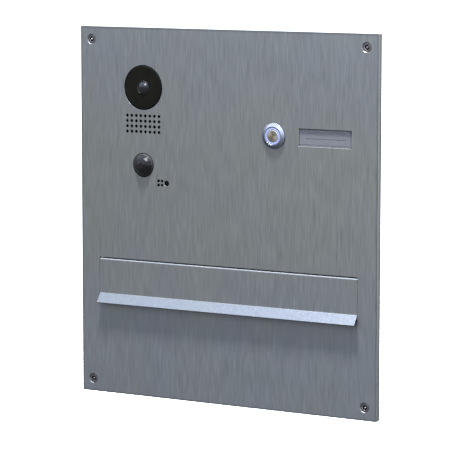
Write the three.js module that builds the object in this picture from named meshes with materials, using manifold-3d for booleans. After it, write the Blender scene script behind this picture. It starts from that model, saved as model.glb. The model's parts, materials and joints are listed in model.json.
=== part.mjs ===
// Door intercom panel with a letter flap.
//
// Frame: millimetres. The origin is the centre of the front plate's back face. +X is to the right as a
// visitor sees the panel, +Z is up, and +Y goes into the wall, so the front face is at y = -4.
// A piece that is round about an axis into the wall is built about the local Y axis of its group.

import * as THREE from "three";
import { mergeVertices } from "three/addons/utils/BufferGeometryUtils.js";
import Module from "manifold-3d";

const wasm = await Module();
wasm.setup();

// ---------------------------------------------------------------- driving dimensions

const GAP = 0.3; // between pieces that touch

const PLATE = { width: 300, height: 330, thick: 4 };
const FRONT = -PLATE.thick; // y of the plate's front face
const GASKET = { width: 6, thick: 2, inset: 0.2, front: 0.1 };
const GASKET_BACK = GASKET.front + GASKET.thick;

const SCREW = {
  inset: 11.5, headR: 3.9, shankR: 2.4, length: 16, sink: 0.35, holeR: 2.75, recessR: 4.6, collarR: 5,
};

const CAMERA = { x: -84.1, z: 112, windowR: 19.6, lensR: 6 };
const SPEAKER = { x: -84.2, z: 79.9, columns: 8, rows: 4, pitch: 4.73, holeR: 1.2 };
const MOTION = { x: -84.2, z: 43.1, domeR: 10.6, domeRise: 4.6 };
const MICROPHONE = { x: -66.4, z: 28.1, pitch: 3.6, holeR: 1.1 };
const LIGHT_SENSOR = { x: -59.8, z: 28.1, holeR: 2.5 };

const BUTTON = { x: 49, z: 75, bezelR: 11, shankR: 9.4, rise: 2.6 };
const NAMEPLATE = { x: 99, z: 74.9, width: 51.5, height: 15 };

const SLOT = { width: 263, top: -41.6, bottom: -80.2 };
const FLAP = { width: 261.6, top: -42.6, crease: -73.4, sheet: 1.5, topR: 3, flange: 7 };
const LIP = { out: 5.8, down: 8.4 };
const PIVOT = { y: 2.2, below: 10, pinR: 1.5, holeR: 1.6 };
const CHUTE = { innerHalf: 132.3, top: -40.6, bottom: -81.5, wall: 1.7, depth: 28, flangeOut: 9.5 };

const HOUSING = { left: -118, right: -40, bottom: 14, top: 138, depth: 34, wall: 2.2, bossR: 3.6 };

// ---------------------------------------------------------------- materials

function finish(color, roughness, metalness) {
  return new THREE.MeshStandardMaterial({ color, roughness, metalness });
}

const steel = finish(0x8d9293, 0.35, 1);
const darkSteel = finish(0x55595b, 0.4, 1);
const brass = finish(0xb08d4a, 0.35, 1);
const blackGloss = finish(0x0b0b0a, 0.08, 0);
const blackMatt = finish(0x17181a, 0.6, 0);
const rubber = finish(0x1b1c1d, 0.85, 0);
const greyPlastic = finish(0x4a4d50, 0.6, 0);
const glass = finish(0x1a2026, 0.03, 0);
const clearPlastic = finish(0xb9c2c9, 0.1, 0);
const lightGuide = finish(0xc9d6ff, 0.4, 0);
const boardGreen = finish(0x1d4a2c, 0.5, 0);
const card = finish(0x8b9098, 0.8, 0);

// ---------------------------------------------------------------- solids and booleans

// A closed geometry as a manifold-3d solid, turned the right way out.
function solid(geometry) {
  const bare = geometry.index ? geometry.toNonIndexed() : geometry.clone();
  bare.deleteAttribute("normal");
  bare.deleteAttribute("uv");
  const merged = mergeVertices(bare, 1e-4);
  const triVerts = new Uint32Array(merged.index.array);
  const vertProperties = new Float32Array(merged.attributes.position.array);
  const made = new wasm.Manifold(new wasm.Mesh({ numProp: 3, vertProperties, triVerts }));
  if (made.volume() > 0) return made;
  for (let i = 0; i < triVerts.length; i += 3) {
    [triVerts[i + 1], triVerts[i + 2]] = [triVerts[i + 2], triVerts[i + 1]];
  }
  return new wasm.Manifold(new wasm.Mesh({ numProp: 3, vertProperties, triVerts }));
}

function geometryOf(body) {
  const { vertProperties, triVerts, numProp, numVert } = body.getMesh();
  const position = new Float32Array(numVert * 3);
  for (let i = 0; i < numVert; i++) {
    position.set(vertProperties.subarray(i * numProp, i * numProp + 3), i * 3);
  }
  const geometry = new THREE.BufferGeometry();
  geometry.setAttribute("position", new THREE.BufferAttribute(position, 3));
  geometry.setIndex(new THREE.BufferAttribute(new Uint32Array(triVerts), 1));
  geometry.computeVertexNormals();
  return geometry;
}

const joined = (...bodies) => bodies.reduce((sum, body) => sum.add(body));
const cut = (body, ...tools) => body.subtract(joined(...tools));

// A box from its low and high corners.
function box([x0, y0, z0], [x1, y1, z1]) {
  const geometry = new THREE.BoxGeometry(x1 - x0, y1 - y0, z1 - z0);
  return solid(geometry.translate((x0 + x1) / 2, (y0 + y1) / 2, (z0 + z1) / 2));
}

// A solid of revolution about Y: points are [radius, y], closed by the axis or by the last point.
function turned(points, sides) {
  const profile = points.map(([radius, y]) => new THREE.Vector2(radius, y));
  if (points[0][0] > 0) profile.push(profile[0].clone());
  return solid(new THREE.LatheGeometry(profile, sides));
}

const rod = (r, y0, y1, sides) => turned([[0, y0], [r, y0], [r, y1], [0, y1]], sides);
const ring = (r0, r1, y0, y1, sides) => turned([[r0, y0], [r1, y0], [r1, y1], [r0, y1]], sides);
const at = (body, x, z) => body.translate([x, 0, z]);

// Points of an arc in [radius, y] or [y, z], angles in degrees, both ends included.
function arc(cx, cy, r, from, to, steps) {
  return Array.from({ length: steps + 1 }, (_, i) => {
    const angle = THREE.MathUtils.degToRad(from + ((to - from) * i) / steps);
    return [cx + r * Math.cos(angle), cy + r * Math.sin(angle)];
  });
}

// An outline in [y, z], extruded from x0 to x1.
function alongX(outline, x0, x1) {
  const shape = new THREE.Shape(outline.map(([y, z]) => new THREE.Vector2(y, z)));
  const geometry = new THREE.ExtrudeGeometry(shape, { depth: x1 - x0, bevelEnabled: false });
  geometry.applyMatrix4(new THREE.Matrix4().set(0, 0, 1, x0, 1, 0, 0, 0, 0, 1, 0, 0, 0, 0, 0, 1));
  return solid(geometry);
}

// A hexagonal prism about Y, given its size across flats.
function hexagon(acrossFlats, y0, y1) {
  return rod(acrossFlats / Math.sqrt(3), y0, y1, 6);
}

// A round wire or lead along a curve.
function wire(curve, radius, sides, steps) {
  const section = new THREE.Shape(
    arc(0, 0, radius, 0, 360 - 360 / sides, sides - 1).map(([x, y]) => new THREE.Vector2(x, y)),
  );
  return solid(new THREE.ExtrudeGeometry(section, { steps, extrudePath: curve, bevelEnabled: false }));
}

class Helix extends THREE.Curve {
  constructor(radius, start, end, turns) {
    super();
    Object.assign(this, { radius, start, end, turns });
  }

  // Wound about the Y axis.
  getPoint(t, target = new THREE.Vector3()) {
    const angle = t * this.turns * 2 * Math.PI;
    const y = THREE.MathUtils.lerp(this.start, this.end, t);
    return target.set(this.radius * Math.cos(angle), y, this.radius * Math.sin(angle));
  }
}

const panel = new THREE.Group();

function place(group, name, body, material) {
  const mesh = new THREE.Mesh(geometryOf(body), material);
  mesh.name = name;
  group.add(mesh);
}

function groupAt({ x, z }) {
  const group = new THREE.Group();
  group.position.set(x, 0, z);
  panel.add(group);
  return group;
}

// ---------------------------------------------------------------- front plate, gasket, corner screws

const screwX = PLATE.width / 2 - SCREW.inset;
const screwZ = PLATE.height / 2 - SCREW.inset;
const corners = [
  ["top_left", -screwX, screwZ],
  ["top_right", screwX, screwZ],
  ["bottom_left", -screwX, -screwZ],
  ["bottom_right", screwX, -screwZ],
];

// The four screws that hold the chute frame, centred in its flange. They end in blind holes in the plate.
const FRAME_SCREW = { x: 98, inset: CHUTE.wall + 4.2, shankR: 1.6, headR: 3.2, headHeight: 2.2, blind: 2.6 };
const frameScrews = [
  ["top_left", -FRAME_SCREW.x, CHUTE.top + FRAME_SCREW.inset],
  ["top_right", FRAME_SCREW.x, CHUTE.top + FRAME_SCREW.inset],
  ["bottom_left", -FRAME_SCREW.x, CHUTE.bottom - FRAME_SCREW.inset],
  ["bottom_right", FRAME_SCREW.x, CHUTE.bottom - FRAME_SCREW.inset],
];

function grid({ x, z, pitch, holeR }, columns, rows, sides) {
  const holes = [];
  for (let column = 0; column < columns; column++) {
    for (let row = 0; row < rows; row++) {
      const dx = (column - (columns - 1) / 2) * pitch;
      const dz = (row - (rows - 1) / 2) * pitch;
      holes.push(at(rod(holeR, FRONT - 1, 1, sides), x + dx, z + dz));
    }
  }
  return joined(...holes);
}

function frontPlate() {
  const halfW = PLATE.width / 2;
  const halfH = PLATE.height / 2;
  const slotHalf = SLOT.width / 2;
  const through = (r, { x, z }, sides) => at(rod(r, FRONT - 1, 1, sides), x, z);
  const nameW = NAMEPLATE.width / 2;
  const nameH = NAMEPLATE.height / 2;
  const { recessR, holeR } = SCREW;
  const countersink = turned([[0, FRONT - 1], [recessR + 1, FRONT - 1], [holeR, FRONT + recessR - holeR],
    [holeR, 1], [0, 1]], 20);
  const blank = box([-halfW, FRONT, -halfH], [halfW, 0, halfH]);
  const pierced = cut(
    blank,
    through(CAMERA.windowR + 0.25, CAMERA, 40),
    through(MOTION.domeR + 0.25, MOTION, 32),
    through(LIGHT_SENSOR.holeR, LIGHT_SENSOR, 16),
    through(BUTTON.shankR + 0.2, BUTTON, 32),
    grid(SPEAKER, SPEAKER.columns, SPEAKER.rows, 10),
    grid(MICROPHONE, 2, 2, 10),
    box([NAMEPLATE.x - nameW, FRONT - 1, NAMEPLATE.z - nameH], [NAMEPLATE.x + nameW, 1, NAMEPLATE.z + nameH]),
    box([-slotHalf, FRONT - 1, SLOT.bottom], [slotHalf, 1, SLOT.top]),
    ...corners.map(([, x, z]) => at(countersink, x, z)),
    ...frameScrews.map(([, x, z]) => at(rod(FRAME_SCREW.shankR + GAP, -FRAME_SCREW.blind, 1, 12), x, z)),
  );
  // Spacer collars round the corner holes: they stop the gasket from being crushed.
  const collar = ring(holeR, SCREW.collarR, -1, GASKET_BACK, 20);
  return joined(pierced, ...corners.map(([, x, z]) => at(collar, x, z)));
}

function perimeterGasket() {
  const halfW = PLATE.width / 2 - GASKET.inset;
  const halfH = PLATE.height / 2 - GASKET.inset;
  return cut(
    box([-halfW, GASKET.front, -halfH], [halfW, GASKET_BACK, halfH]),
    box([-halfW + GASKET.width, GASKET.front - 1, -halfH + GASKET.width],
      [halfW - GASKET.width, GASKET_BACK + 1, halfH - GASKET.width]),
  );
}

// Countersunk head with a hexagonal socket and a security pin standing in it.
function cornerScrew() {
  const top = FRONT + SCREW.sink;
  const chamfer = 0.25;
  const cone = top + chamfer + SCREW.headR - SCREW.shankR;
  const blank = turned([[0, top], [SCREW.headR - chamfer, top], [SCREW.headR, top + chamfer],
    [SCREW.shankR, cone], [SCREW.shankR, SCREW.length - 1.2], [SCREW.shankR - 1.2, SCREW.length],
    [0, SCREW.length]], 20);
  const socket = hexagon(4, top - 1, top + 1.5);
  return joined(cut(blank, socket), rod(0.75, top + 0.2, top + 2, 8));
}

place(panel, "front_plate", frontPlate(), steel);
place(panel, "perimeter_gasket", perimeterGasket(), rubber);
for (const [corner, x, z] of corners) {
  place(groupAt({ x, z }), "corner_screw_" + corner, cornerScrew(), steel);
}

// ---------------------------------------------------------------- camera

const camera = groupAt(CAMERA);
const windowFront = FRONT - 0.3;
const windowBack = windowFront + 2;
const lensBore = CAMERA.lensR + GAP;

place(camera, "camera_window", turned([
  [lensBore, windowFront],
  [CAMERA.windowR - 0.5, windowFront],
  [CAMERA.windowR, windowFront + 0.5],
  [CAMERA.windowR, windowBack],
  [lensBore, windowBack],
], 40), blackGloss);

place(camera, "camera_seal", ring(17.9, 19.4, windowBack + 0.1, windowBack + 0.7, 32), rubber);

// Cup that carries the window in the plate's hole, with a flange behind the plate.
place(camera, "camera_cup", turned([[17.9, -1.5], [19.5, -1.5], [19.5, 0.3], [21.5, 0.3], [21.5, 2.3],
  [19.5, 2.3], [19.5, 5.8], [8.6, 5.8], [8.6, 4.2], [17.9, 4.2]], 32), blackMatt);

function infraredBoard() {
  const leds = Array.from({ length: 8 }, (_, i) => {
    const angle = ((i + 0.5) * Math.PI) / 4;
    return at(rod(1.5, 0.9, 3, 10), 13 * Math.cos(angle), 13 * Math.sin(angle));
  });
  return joined(ring(9, 17.5, 2.7, 3.9, 32), ...leds);
}
place(camera, "infrared_led_board", infraredBoard(), boardGreen);

const lensSeat = FRONT + 0.3;
place(camera, "lens_front_element", turned([[0, lensSeat - 2.3], ...arc(0, lensSeat + 5.7, 8, -80, -49, 4),
  [5.3, lensSeat], [0, lensSeat]], 24), glass);

place(camera, "lens_barrel", turned([[5.5, FRONT - 0.6], [CAMERA.lensR, FRONT - 0.6], [CAMERA.lensR, 12],
  [4.2, 12], [4.2, lensSeat + 0.2], [5.5, lensSeat + 0.2]], 24), blackMatt);

function lensMount() {
  const blank = joined(rod(8, 3.4, 9.5, 24), box([-11, 9, -11], [11, 15.2, 11]));
  return cut(blank, rod(lensBore, 2, 16, 24));
}
place(camera, "lens_mount", lensMount(), blackMatt);
place(camera, "image_sensor_board", box([-15, 15.5, -15], [15, 17.1, 15]), boardGreen);

// ---------------------------------------------------------------- speaker

const speaker = groupAt(SPEAKER);
const SPEAKER_HALF = { x: 20.5, z: 10.1 };

place(speaker, "speaker_mesh", box([-20, 0.15, -9.8], [20, 0.6, 9.8]), darkSteel);

function speakerFrame() {
  const { x, z } = SPEAKER_HALF;
  return cut(
    box([-x, 0.9, -z], [x, 8, z]),
    box([-x + 1.5, 0, -z + 1.5], [x - 1.5, 6, z - 1.5]),
    rod(8.9, 5, 9, 20),
  );
}
place(speaker, "speaker_frame", speakerFrame(), blackMatt);

// Flat surround with a shallow dome in its middle.
function speakerCone() {
  const dome = turned([[0, 1.4], ...arc(0, 8.4, 7, -84, -50, 3), [4.5, 3.4], [0, 3.4]], 20);
  return joined(box([-18.6, 3, -8.2], [18.6, 3.5, 8.2]), dome);
}
place(speaker, "speaker_cone", speakerCone(), blackMatt);
place(speaker, "speaker_magnet", rod(8.5, 3.9, 12, 20), steel);

// ---------------------------------------------------------------- motion sensor

const motion = groupAt(MOTION);

function motionDome() {
  const { domeR, domeRise } = MOTION;
  const wall = 1.1;
  const sphereR = (domeR ** 2 + domeRise ** 2) / (2 * domeRise);
  const centre = FRONT - domeRise + sphereR;
  const edge = THREE.MathUtils.radToDeg(Math.asin(domeR / sphereR));
  const innerR = sphereR - wall;
  const innerEdge = THREE.MathUtils.radToDeg(Math.asin((domeR - wall) / innerR));
  return turned([
    [0, centre - sphereR],
    ...arc(0, centre, sphereR, -90 + edge / 6, -90 + edge, 5),
    [domeR, 0.3], [12.8, 0.3], [12.8, 1.5], [domeR - wall, 1.5],
    ...arc(0, centre, innerR, -90 + innerEdge, -90 + innerEdge / 5, 4),
    [0, centre - innerR],
  ], 32);
}
place(motion, "motion_dome", motionDome(), blackGloss);
place(motion, "motion_dome_retainer", ring(8, 13.2, 1.8, 4, 24), blackMatt);

function motionSensor() {
  const can = turned([[0, 3], [4.3, 3], [4.6, 3.3], [4.6, 8], [5.2, 8], [5.2, 9], [0, 9]], 20);
  return cut(can, box([-2, 2, -1.5], [2, 3.3, 1.5]));
}
place(motion, "motion_sensor", motionSensor(), steel);

// ---------------------------------------------------------------- microphone and light sensor

const microphone = groupAt(MICROPHONE);
place(microphone, "microphone_boot", cut(
  box([-3.9, 0.3, -4.6], [3.9, 6.5, 4.6]),
  box([-3.1, 0, -3.1], [3.1, 5, 3.1]),
), rubber);
place(microphone, "microphone_capsule", rod(2.8, 1.2, 4.7, 16), steel);

place(groupAt(LIGHT_SENSOR), "light_sensor_window", turned([[0, FRONT + 0.4], [1.4, FRONT + 0.55],
  [2.25, FRONT + 1], [2.25, 2.5], [0, 2.5]], 16), blackGloss);

// ---------------------------------------------------------------- electronics housing behind the plate

const bossInset = HOUSING.wall + HOUSING.bossR - 0.2;
const coverCorners = [
  [HOUSING.left + bossInset, HOUSING.bottom + bossInset],
  [HOUSING.right - bossInset, HOUSING.bottom + bossInset],
  [HOUSING.left + bossInset, HOUSING.top - bossInset],
  [HOUSING.right - bossInset, HOUSING.top - bossInset],
];
const LEAD = { r: 1.75, y: 9, entryZ: 66 };
const GROMMET = { holeR: 7, up: 22 };
const COVER_THICK = 2.4;

function electronicsHousing() {
  const { left, right, bottom, top, depth, wall, bossR } = HOUSING;
  const shell = cut(
    box([left, 0.3, bottom], [right, depth, top]),
    box([left + wall, 0, bottom + wall], [right - wall, depth + 1, top - wall]),
  );
  const bosses = coverCorners.map(([x, z]) => at(rod(bossR, 20, depth, 12), x, z));
  const bores = coverCorners.map(([x, z]) => at(rod(1.7, 22, depth + 1, 10), x, z));
  const leadEntry = rod(LEAD.r + GAP, 0, 2 * HOUSING.wall, 12)
    .rotate([0, 0, 90])
    .translate([right + wall, LEAD.y, LEAD.entryZ]);
  return cut(joined(shell, ...bosses), ...bores, leadEntry);
}

function rearCover() {
  const { left, right, bottom, top, depth } = HOUSING;
  const y0 = depth + GAP;
  const y1 = y0 + COVER_THICK;
  const middle = (left + right) / 2;
  const ribs = [middle - 16, middle, middle + 16].map((x) =>
    box([x - 1, y1 - 0.5, bottom + 40], [x + 1, y1 + 1.2, top - 16]),
  );
  return cut(
    joined(box([left, y0, bottom], [right, y1, top]), ...ribs),
    at(rod(GROMMET.holeR, y0 - 1, y1 + 1, 24), middle, bottom + GROMMET.up),
    ...coverCorners.map(([x, z]) => at(rod(1.8, y0 - 1, y1 + 1, 12), x, z)),
  );
}

function coverScrew() {
  const under = HOUSING.depth + GAP + COVER_THICK + 0.1;
  const head = turned([[0, 24], [1.4, 24], [1.4, under], [3.1, under], [3.1, under + 1.3], [2.3, under + 2.1],
    [0, under + 2.1]], 16);
  const slot = (a, b) => box([-a, under + 1, -b], [a, under + 3, b]);
  return cut(head, slot(1.7, 0.4), slot(0.4, 1.7));
}

// Rubber grommet: a groove sits on the cover's edge, and a thin skin closes the middle.
function cableGrommet() {
  const inner = HOUSING.depth + GAP;
  const outer = inner + COVER_THICK;
  const middle = (HOUSING.left + HOUSING.right) / 2;
  return at(turned([[0, inner - 1], [8.6, inner - 1], [8.6, inner - 0.3], [6.7, inner - 0.3],
    [6.7, outer + 0.3], [8.6, outer + 0.3], [7.9, outer + 2.6], [4.6, outer + 2.6], [4.2, outer],
    [0, outer]], 24), middle, HOUSING.bottom + GROMMET.up);
}

place(panel, "electronics_housing", electronicsHousing(), blackMatt);
place(panel, "main_circuit_board", box([-108, 22, 21.5], [-50, 23.6, 130.5]), boardGreen);
place(panel, "processor_shield", box([-92, 18.6, 95], [-66, 21.7, 121]), steel);
place(panel, "terminal_block", box([-94, 23.9, 26], [-64, 31.5, 44]), greyPlastic);
place(panel, "electronics_rear_cover", rearCover(), blackMatt);
coverCorners.forEach(([x, z], i) => place(groupAt({ x, z }), "cover_screw_" + (i + 1), coverScrew(), steel));
place(panel, "cable_grommet", cableGrommet(), rubber);

// ---------------------------------------------------------------- call button

const button = groupAt(BUTTON);
const bezelTop = FRONT - BUTTON.rise;
const BUTTON_BORE = 7.35;
const GUIDE = { r0: 5.75, r1: 7.15 };
const SHANK_END = 22;

// Conical bezel and threaded shank in one piece.
place(button, "button_bezel", turned([[BUTTON_BORE, bezelTop], [8.3, bezelTop], [BUTTON.bezelR, FRONT - 0.9],
  [BUTTON.bezelR, FRONT - 0.5], [BUTTON.shankR, FRONT - 0.5], [BUTTON.shankR, SHANK_END],
  [BUTTON_BORE, SHANK_END]], 32), steel);
place(button, "button_seal", ring(9.7, 10.6, FRONT - 0.45, FRONT - 0.05, 32), rubber);
place(button, "button_light_ring", ring(GUIDE.r0, GUIDE.r1, bezelTop + 0.05, 4, 32), lightGuide);

// Domed cap on a thinner plunger.
place(button, "button_actuator", turned([[0, bezelTop - 0.1], [2.8, bezelTop - 0.05], [4.9, bezelTop + 0.05],
  [5.5, bezelTop + 0.4], [5.5, -2.2], [3, -2.2], [3, 6], [0, 6]], 28), steel);

const SPRING = { radius: 4.2, wireR: 0.35, start: -1.7, end: 9.6, turns: 5 };
const coil = new Helix(SPRING.radius, SPRING.start, SPRING.end, SPRING.turns);
place(button, "button_return_spring", wire(coil, SPRING.wireR, 6, 50), darkSteel);

place(button, "button_nut", cut(hexagon(22, 0.4, 4.2), rod(9.6, 0, 5, 24)), steel);
place(button, "button_switch_body", turned([
  [0, 10.2], [7, 10.2], [7, SHANK_END + 0.3], [8.9, SHANK_END + 0.3], [8.9, 31], [8.2, 31.7], [0, 31.7],
], 24), blackMatt);
for (const [side, sign] of [["left", -1], ["right", 1]]) {
  place(button, "button_terminal_" + side, box([sign * 4 - 0.4, 32, -1.4], [sign * 4 + 0.4, 37, 1.4]), brass);
}

// Lead from the switch body down, along the plate and into the housing.
const lead = new THREE.CatmullRomCurve3([
  new THREE.Vector3(BUTTON.x, 26, BUTTON.z - 9.2 - LEAD.r),
  new THREE.Vector3(BUTTON.x, 22, BUTTON.z - 17),
  new THREE.Vector3(BUTTON.x - 6, 12, BUTTON.z - 22),
  new THREE.Vector3(BUTTON.x - 20, 4, BUTTON.z - 20),
  new THREE.Vector3(12, 2.6, LEAD.entryZ - 6),
  new THREE.Vector3(-14, 3.4, LEAD.entryZ - 1),
  new THREE.Vector3(-30, 7.5, LEAD.entryZ),
  new THREE.Vector3(-39, LEAD.y, LEAD.entryZ),
  new THREE.Vector3(-46, LEAD.y, LEAD.entryZ),
]);
place(panel, "button_lead", wire(lead, LEAD.r, 8, 36), rubber);

// ---------------------------------------------------------------- nameplate

const nameplate = groupAt(NAMEPLATE);
const coverHalf = { x: NAMEPLATE.width / 2 - 0.2, z: NAMEPLATE.height / 2 - 0.2 };
const coverY = FRONT + 0.3;
const cardY = coverY + 0.9;

place(nameplate, "nameplate_window", box([-coverHalf.x, coverY, -coverHalf.z],
  [coverHalf.x, cardY - 0.1, coverHalf.z]), clearPlastic);
place(nameplate, "nameplate_insert", box([-coverHalf.x, cardY, -coverHalf.z],
  [coverHalf.x, cardY + 0.5, coverHalf.z]), card);

function nameplateHolder() {
  const { x, z } = coverHalf;
  return cut(
    joined(box([-x, cardY + 0.6, -z], [x, 1, z]), box([-x - 6, 0.3, -z - 4], [x + 6, 5, z + 4])),
    box([-x + 3, 2, -z + 2], [x - 3, 6, z - 2]),
  );
}
place(nameplate, "nameplate_holder", nameplateHolder(), greyPlastic);

// ---------------------------------------------------------------- letter flap and its chute

const pivotZ = FLAP.top - PIVOT.below;

// Outline of the folded sheet in [y, z]: top flange, rounded top edge, front, and the finger lip.
function flapOutline() {
  const { top, topR, sheet, crease, flange } = FLAP;
  const lipLength = Math.hypot(LIP.out, LIP.down);
  const along = [-LIP.out / lipLength, -LIP.down / lipLength];
  const behind = [-along[1] * sheet, along[0] * sheet];
  const arcY = FRONT + topR;
  const arcZ = top - topR;
  const tip = [FRONT - LIP.out, crease - LIP.down];
  const tipBehind = [tip[0] + behind[0], tip[1] + behind[1]];
  const toInner = (FRONT + sheet - tipBehind[0]) / -along[0];
  return [
    [FRONT + flange, top],
    ...arc(arcY, arcZ, topR, 90, 180, 6),
    [FRONT, crease],
    tip,
    tipBehind,
    [FRONT + sheet, tipBehind[1] - along[1] * toInner],
    ...arc(arcY, arcZ, topR - sheet, 180, 90, 4),
    [FRONT + flange, top - sheet],
  ];
}

// One end of the flap turned back as an ear round the pivot.
function flapEar(x0, x1) {
  const eyeR = 4.4;
  const front = FRONT + 0.6;
  return alongX([
    [front, pivotZ - 9],
    ...arc(PIVOT.y, pivotZ, eyeR, -55, 60, 6),
    [front, pivotZ + 7.5],
  ], x0, x1);
}

const pinHole = (r) => rod(r, -200, 200, 14).rotate([0, 0, 90]).translate([0, PIVOT.y, pivotZ]);

function letterFlap() {
  const half = FLAP.width / 2;
  const { sheet } = FLAP;
  const blank = joined(
    alongX(flapOutline(), -half, half),
    flapEar(-half, -half + sheet),
    flapEar(half - sheet, half),
  );
  const slice = box([-half - 1, PIVOT.y - 3, pivotZ - 3], [half + 1, PIVOT.y + 3, pivotZ + 3]);
  return cut(blank, pinHole(PIVOT.holeR).intersect(slice));
}
place(panel, "letter_flap", letterFlap(), steel);

// Headed pin: the head is inside the flap, and the far end goes through the chute's side wall.
const PIN = { head: 117.5, headR: 2.6, headLength: 1.5, end: 137.5 };
function pivotPin(sign) {
  const pin = turned([[0, PIN.head], [PIN.headR, PIN.head], [PIN.headR, PIN.head + PIN.headLength],
    [PIVOT.pinR, PIN.head + PIN.headLength], [PIVOT.pinR, PIN.end], [0, PIN.end]], 14);
  return pin.rotate([0, 0, -90 * sign]).translate([0, PIVOT.y, pivotZ]);
}

// Torsion spring on the left pin: one leg lies on the flap's back, and the other is hooked through the
// chute's side wall.
const COIL = { r: 2.5, wireR: 0.4, inner: -121.4, outer: -127.6, start: 90, sweep: 4 * 360 + 30 };
const HOOK = { y: 14, z: pivotZ - 3.9, end: -133.2, holeR: 0.75 };

function flapSpring() {
  const flapBack = FRONT + FLAP.sheet + COIL.wireR + GAP;
  const points = [
    new THREE.Vector3(COIL.inner, flapBack, pivotZ + 6.8),
    new THREE.Vector3(COIL.inner, flapBack, pivotZ + 4.4),
    new THREE.Vector3(COIL.inner, -0.1, pivotZ + 2.8),
  ];
  const steps = 33;
  for (let i = 0; i <= steps; i++) {
    const angle = THREE.MathUtils.degToRad(COIL.start - (COIL.sweep * i) / steps);
    const x = THREE.MathUtils.lerp(COIL.inner, COIL.outer, i / steps);
    points.push(new THREE.Vector3(x, PIVOT.y + COIL.r * Math.cos(angle), pivotZ + COIL.r * Math.sin(angle)));
  }
  points.push(
    new THREE.Vector3(COIL.outer, HOOK.y - 0.6, HOOK.z + 0.3),
    new THREE.Vector3(COIL.outer - 0.6, HOOK.y, HOOK.z),
    new THREE.Vector3(HOOK.end, HOOK.y, HOOK.z),
  );
  return wire(new THREE.CatmullRomCurve3(points, false, "centripetal"), COIL.wireR, 6, 90);
}

// Sheet-metal duct behind the slot, with a flange against the plate.
function slotFrame() {
  const { innerHalf, top, bottom, wall, depth, flangeOut } = CHUTE;
  const y0 = GAP;
  const outer = innerHalf + wall;
  const duct = box([-outer, y0, bottom - wall], [outer, depth, top + wall]);
  const flange = box([-outer - 5, y0, bottom - flangeOut], [outer + 5, y0 + wall, top + flangeOut]);
  const hollow = box([-innerHalf, y0 - 1, bottom], [innerHalf, depth + 1, top]);
  const pinBore = pinHole(PIVOT.holeR);
  const hookBore = rod(HOOK.holeR, innerHalf - 1, outer + 1, 12)
    .rotate([0, 0, 90])
    .translate([0, HOOK.y, HOOK.z]);
  const holes = frameScrews.map(([, x, z]) => at(rod(FRAME_SCREW.shankR + GAP, 0, 5, 12), x, z));
  return cut(joined(duct, flange), hollow, pinBore, hookBore, ...holes);
}

function bumper(sign) {
  const inner = Math.min(sign * 119, sign * 127);
  const outer = inner + 8;
  return joined(
    box([inner, -2.2, SLOT.bottom + GAP], [outer, 1, -72]),
    box([inner, 0.4, CHUTE.bottom + GAP], [outer, 6, -72]),
  );
}

place(panel, "slot_frame", slotFrame(), steel);
place(panel, "flap_spring", flapSpring(), darkSteel);
for (const [side, sign] of [["left", -1], ["right", 1]]) {
  place(panel, "flap_pivot_pin_" + side, pivotPin(sign), steel);
  place(panel, "flap_bumper_" + side, bumper(sign), rubber);
}

// Cap-head screw with a hexagonal socket, its head on the chute's flange.
function frameScrew() {
  const { shankR, headR, headHeight, blind } = FRAME_SCREW;
  const under = GAP + CHUTE.wall + 0.1;
  const top = under + headHeight;
  const blank = turned([[0, -blind + GAP], [shankR, -blind + GAP], [shankR, under], [headR, under],
    [headR, top - 0.4], [headR - 0.4, top], [0, top]], 20);
  return cut(blank, hexagon(3, top - 1.4, top + 1));
}
for (const [corner, x, z] of frameScrews) {
  place(groupAt({ x, z }), "slot_frame_screw_" + corner, frameScrew(), steel);
}

export default panel;
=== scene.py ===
"""Looks of a door intercom panel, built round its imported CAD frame.

The frame is the CAD's: the origin is the centre of the plate's back face, +X right, +Z up and +Y into
the wall. Blender's objects are in metres, and the sizes in this script are in millimetres.
"""

import json
import math
import random

import bmesh
import bpy
from mathutils import Matrix, Vector
from mathutils.geometry import delaunay_2d_cdt


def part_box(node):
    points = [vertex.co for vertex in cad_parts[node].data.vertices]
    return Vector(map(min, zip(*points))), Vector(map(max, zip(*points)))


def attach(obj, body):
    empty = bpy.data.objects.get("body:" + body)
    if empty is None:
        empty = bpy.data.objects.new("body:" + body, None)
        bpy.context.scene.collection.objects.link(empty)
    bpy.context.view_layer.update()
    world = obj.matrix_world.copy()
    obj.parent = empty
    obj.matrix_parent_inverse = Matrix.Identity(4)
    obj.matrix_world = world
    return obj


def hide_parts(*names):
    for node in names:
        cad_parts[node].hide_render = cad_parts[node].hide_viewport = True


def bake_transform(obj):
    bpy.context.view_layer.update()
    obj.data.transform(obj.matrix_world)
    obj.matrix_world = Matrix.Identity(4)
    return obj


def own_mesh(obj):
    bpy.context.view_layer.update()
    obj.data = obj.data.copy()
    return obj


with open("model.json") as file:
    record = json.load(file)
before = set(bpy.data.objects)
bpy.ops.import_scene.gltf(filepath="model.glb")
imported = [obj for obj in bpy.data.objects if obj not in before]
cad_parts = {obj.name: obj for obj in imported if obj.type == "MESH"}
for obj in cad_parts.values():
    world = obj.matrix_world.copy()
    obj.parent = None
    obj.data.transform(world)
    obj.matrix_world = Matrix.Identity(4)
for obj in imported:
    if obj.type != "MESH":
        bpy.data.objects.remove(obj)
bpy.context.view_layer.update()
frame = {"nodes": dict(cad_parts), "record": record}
MM = 0.001

BODY_OF = {node: body for body, nodes in frame["record"]["behaviour"]["bodies"].items() for node in nodes}
SLOT_OF = {part["node"]: part["material_slot"] for part in frame["record"]["subparts"]}


class Place:
    """Where a CAD node is, in millimetres."""

    def __init__(self, node):
        low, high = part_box(node)
        self.low = low / MM
        self.high = high / MM
        self.x, self.y, self.z = (self.low + self.high) / 2
        self.front = self.low.y
        self.back = self.high.y
        self.radius = (self.high.x - self.low.x) / 2


# ---- sizes, in millimetres

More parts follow.
